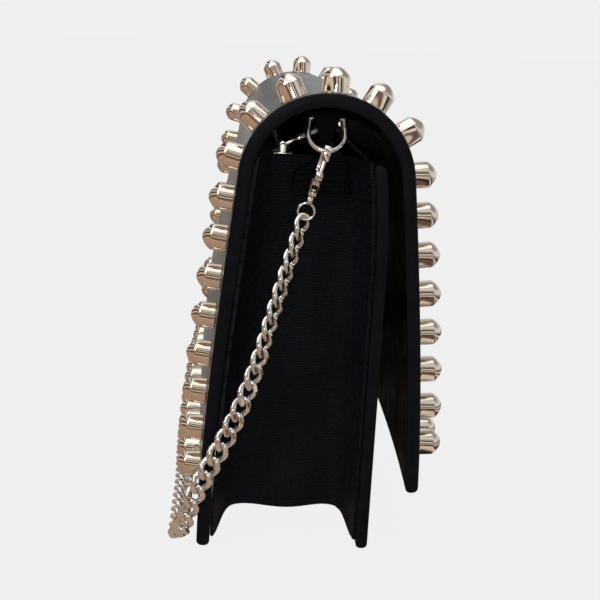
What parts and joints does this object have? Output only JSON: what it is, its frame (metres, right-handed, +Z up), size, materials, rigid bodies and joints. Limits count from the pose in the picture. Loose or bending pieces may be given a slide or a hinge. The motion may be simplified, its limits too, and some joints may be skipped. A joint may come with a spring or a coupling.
{
  "type": "chain wallet",
  "caption": "Stiff leather chain wallet with a fold-over flap, studded border, side gussets, inner zip pocket and a curb chain on snap hooks.",
  "frame": {"origin": "middle of the box's floor: on the surface the wallet stands on, under the centre of the wallet without its chain", "axes": "+X along the wallet from its left end to its right end, seen from the front; -Y towards the flap front; +Z up"},
  "size_m": [0.2056, 0.0937, 0.1482],
  "materials": {
    "leather_silver": "metallic silver-grey cross-grain leather, satin",
    "leather_black": "black cross-grain leather, satin",
    "lining_black": "smooth dark lining leather, matte",
    "edge_board": "leather board with dark navy edge paint, soft satin",
    "zip_tape": "woven black tape",
    "nickel": "polished warm nickel",
    "stud_metal": "polished champagne nickel",
    "clasp_metal": "dark gunmetal",
    "clasp_dome": "dark olive-grey, polished"
  },
  "bodies": {
    "root": {"back_skin": "leather_silver", "back_board": "edge_board", "back_lining": "lining_black", "front_skin": "leather_black", "front_board": "edge_board", "front_lining": "lining_black", "gusset_left": "leather_black", "gusset_right": "leather_black", "bottom_panel": "leather_black", "pocket_wall": "lining_black", "card_slots": "lining_black", "zip_tape_front": "zip_tape", "zip_tape_back": "zip_tape", "zip_teeth": "nickel", "ring_tab_left": "leather_black", "ring_tab_right": "leather_black", "chain_left": "nickel", "chain_right": "nickel", "studs_back_left": "stud_metal", "studs_back_right": "stud_metal", "studs_back_row": "stud_metal", "lock_body": "nickel"},
    "flap_top": {"top_skin": "leather_silver", "top_board": "edge_board", "top_lining": "lining_black", "studs_top_left": "stud_metal", "studs_top_right": "stud_metal"},
    "flap": {"flap_skin": "leather_silver", "flap_board": "edge_board", "flap_lining": "lining_black", "studs_flap_left": "stud_metal", "studs_flap_right": "stud_metal", "studs_flap_row": "stud_metal", "lock_flap": "nickel", "clasp_plate": "clasp_metal", "clasp_dome": "clasp_dome"},
    "zip_slider": {"zip_slider": "nickel"},
    "zip_pull": {"zip_puller": "nickel", "zip_strap": "leather_silver"},
    "ring_left": {"d_ring_left": "nickel", "hook_left": "nickel"},
    "gate_left": {"hook_gate_left": "nickel"},
    "eye_left": {"swivel_eye_left": "nickel"},
    "ring_right": {"d_ring_right": "nickel", "hook_right": "nickel"},
    "gate_right": {"hook_gate_right": "nickel"},
    "eye_right": {"swivel_eye_right": "nickel"}
  },
  "joints": [
    {"name": "flap_lift", "type": "hinge", "parent": "root", "child": "flap_top", "pos_m": [0, 0.0253, 0.12657], "axis": [-1, 0, 0], "range_deg": [0, 65]},
    {"name": "flap_fold", "type": "hinge", "parent": "flap_top", "child": "flap", "pos_m": [0, -0.01549, 0.13394], "axis": [-1, 0, 0], "range_deg": [0, 65]},
    {"name": "zip_slide", "type": "slide", "parent": "root", "child": "zip_slider", "axis": [1, 0, 0], "range_m": [0, 0.146]},
    {"name": "zip_pull_tilt", "type": "hinge", "parent": "zip_slider", "child": "zip_pull", "pos_m": [-0.073, 0.0145, 0.1238], "axis": [1, 0, 0], "range_deg": [0, 30]},
    {"name": "ring_swing_left", "type": "hinge", "parent": "root", "child": "ring_left", "pos_m": [-0.0862, 0.0026, 0.1334], "axis": [0, 1, 0], "range_deg": [0, 65]},
    {"name": "gate_press_left", "type": "hinge", "parent": "ring_left", "child": "gate_left", "pos_m": [-0.0942, 0.00447, 0.11774], "axis": [0, 0.9627, 0.2706], "range_deg": [0, 25], "stiffness_Nm_per_rad": 0.002},
    {"name": "eye_swivel_left", "type": "hinge", "parent": "ring_left", "child": "eye_left", "pos_m": [-0.0912, 0.00585, 0.11283], "axis": [0, -0.2706, 0.9627], "range_deg": [-35, 35]},
    {"name": "ring_swing_right", "type": "hinge", "parent": "root", "child": "ring_right", "pos_m": [0.0862, 0.0026, 0.1334], "axis": [0, -1, 0], "range_deg": [0, 65]},
    {"name": "gate_press_right", "type": "hinge", "parent": "ring_right", "child": "gate_right", "pos_m": [0.0942, 0.00447, 0.11774], "axis": [0, -0.9627, -0.2706], "range_deg": [0, 25], "stiffness_Nm_per_rad": 0.002},
    {"name": "eye_swivel_right", "type": "hinge", "parent": "ring_right", "child": "eye_right", "pos_m": [0.0912, 0.00585, 0.11283], "axis": [0, -0.2706, 0.9627], "range_deg": [-35, 35]}
  ],
  "couplings": [
    {"joint": "flap_fold", "follows": "flap_lift", "ratio": 1}
  ]
}
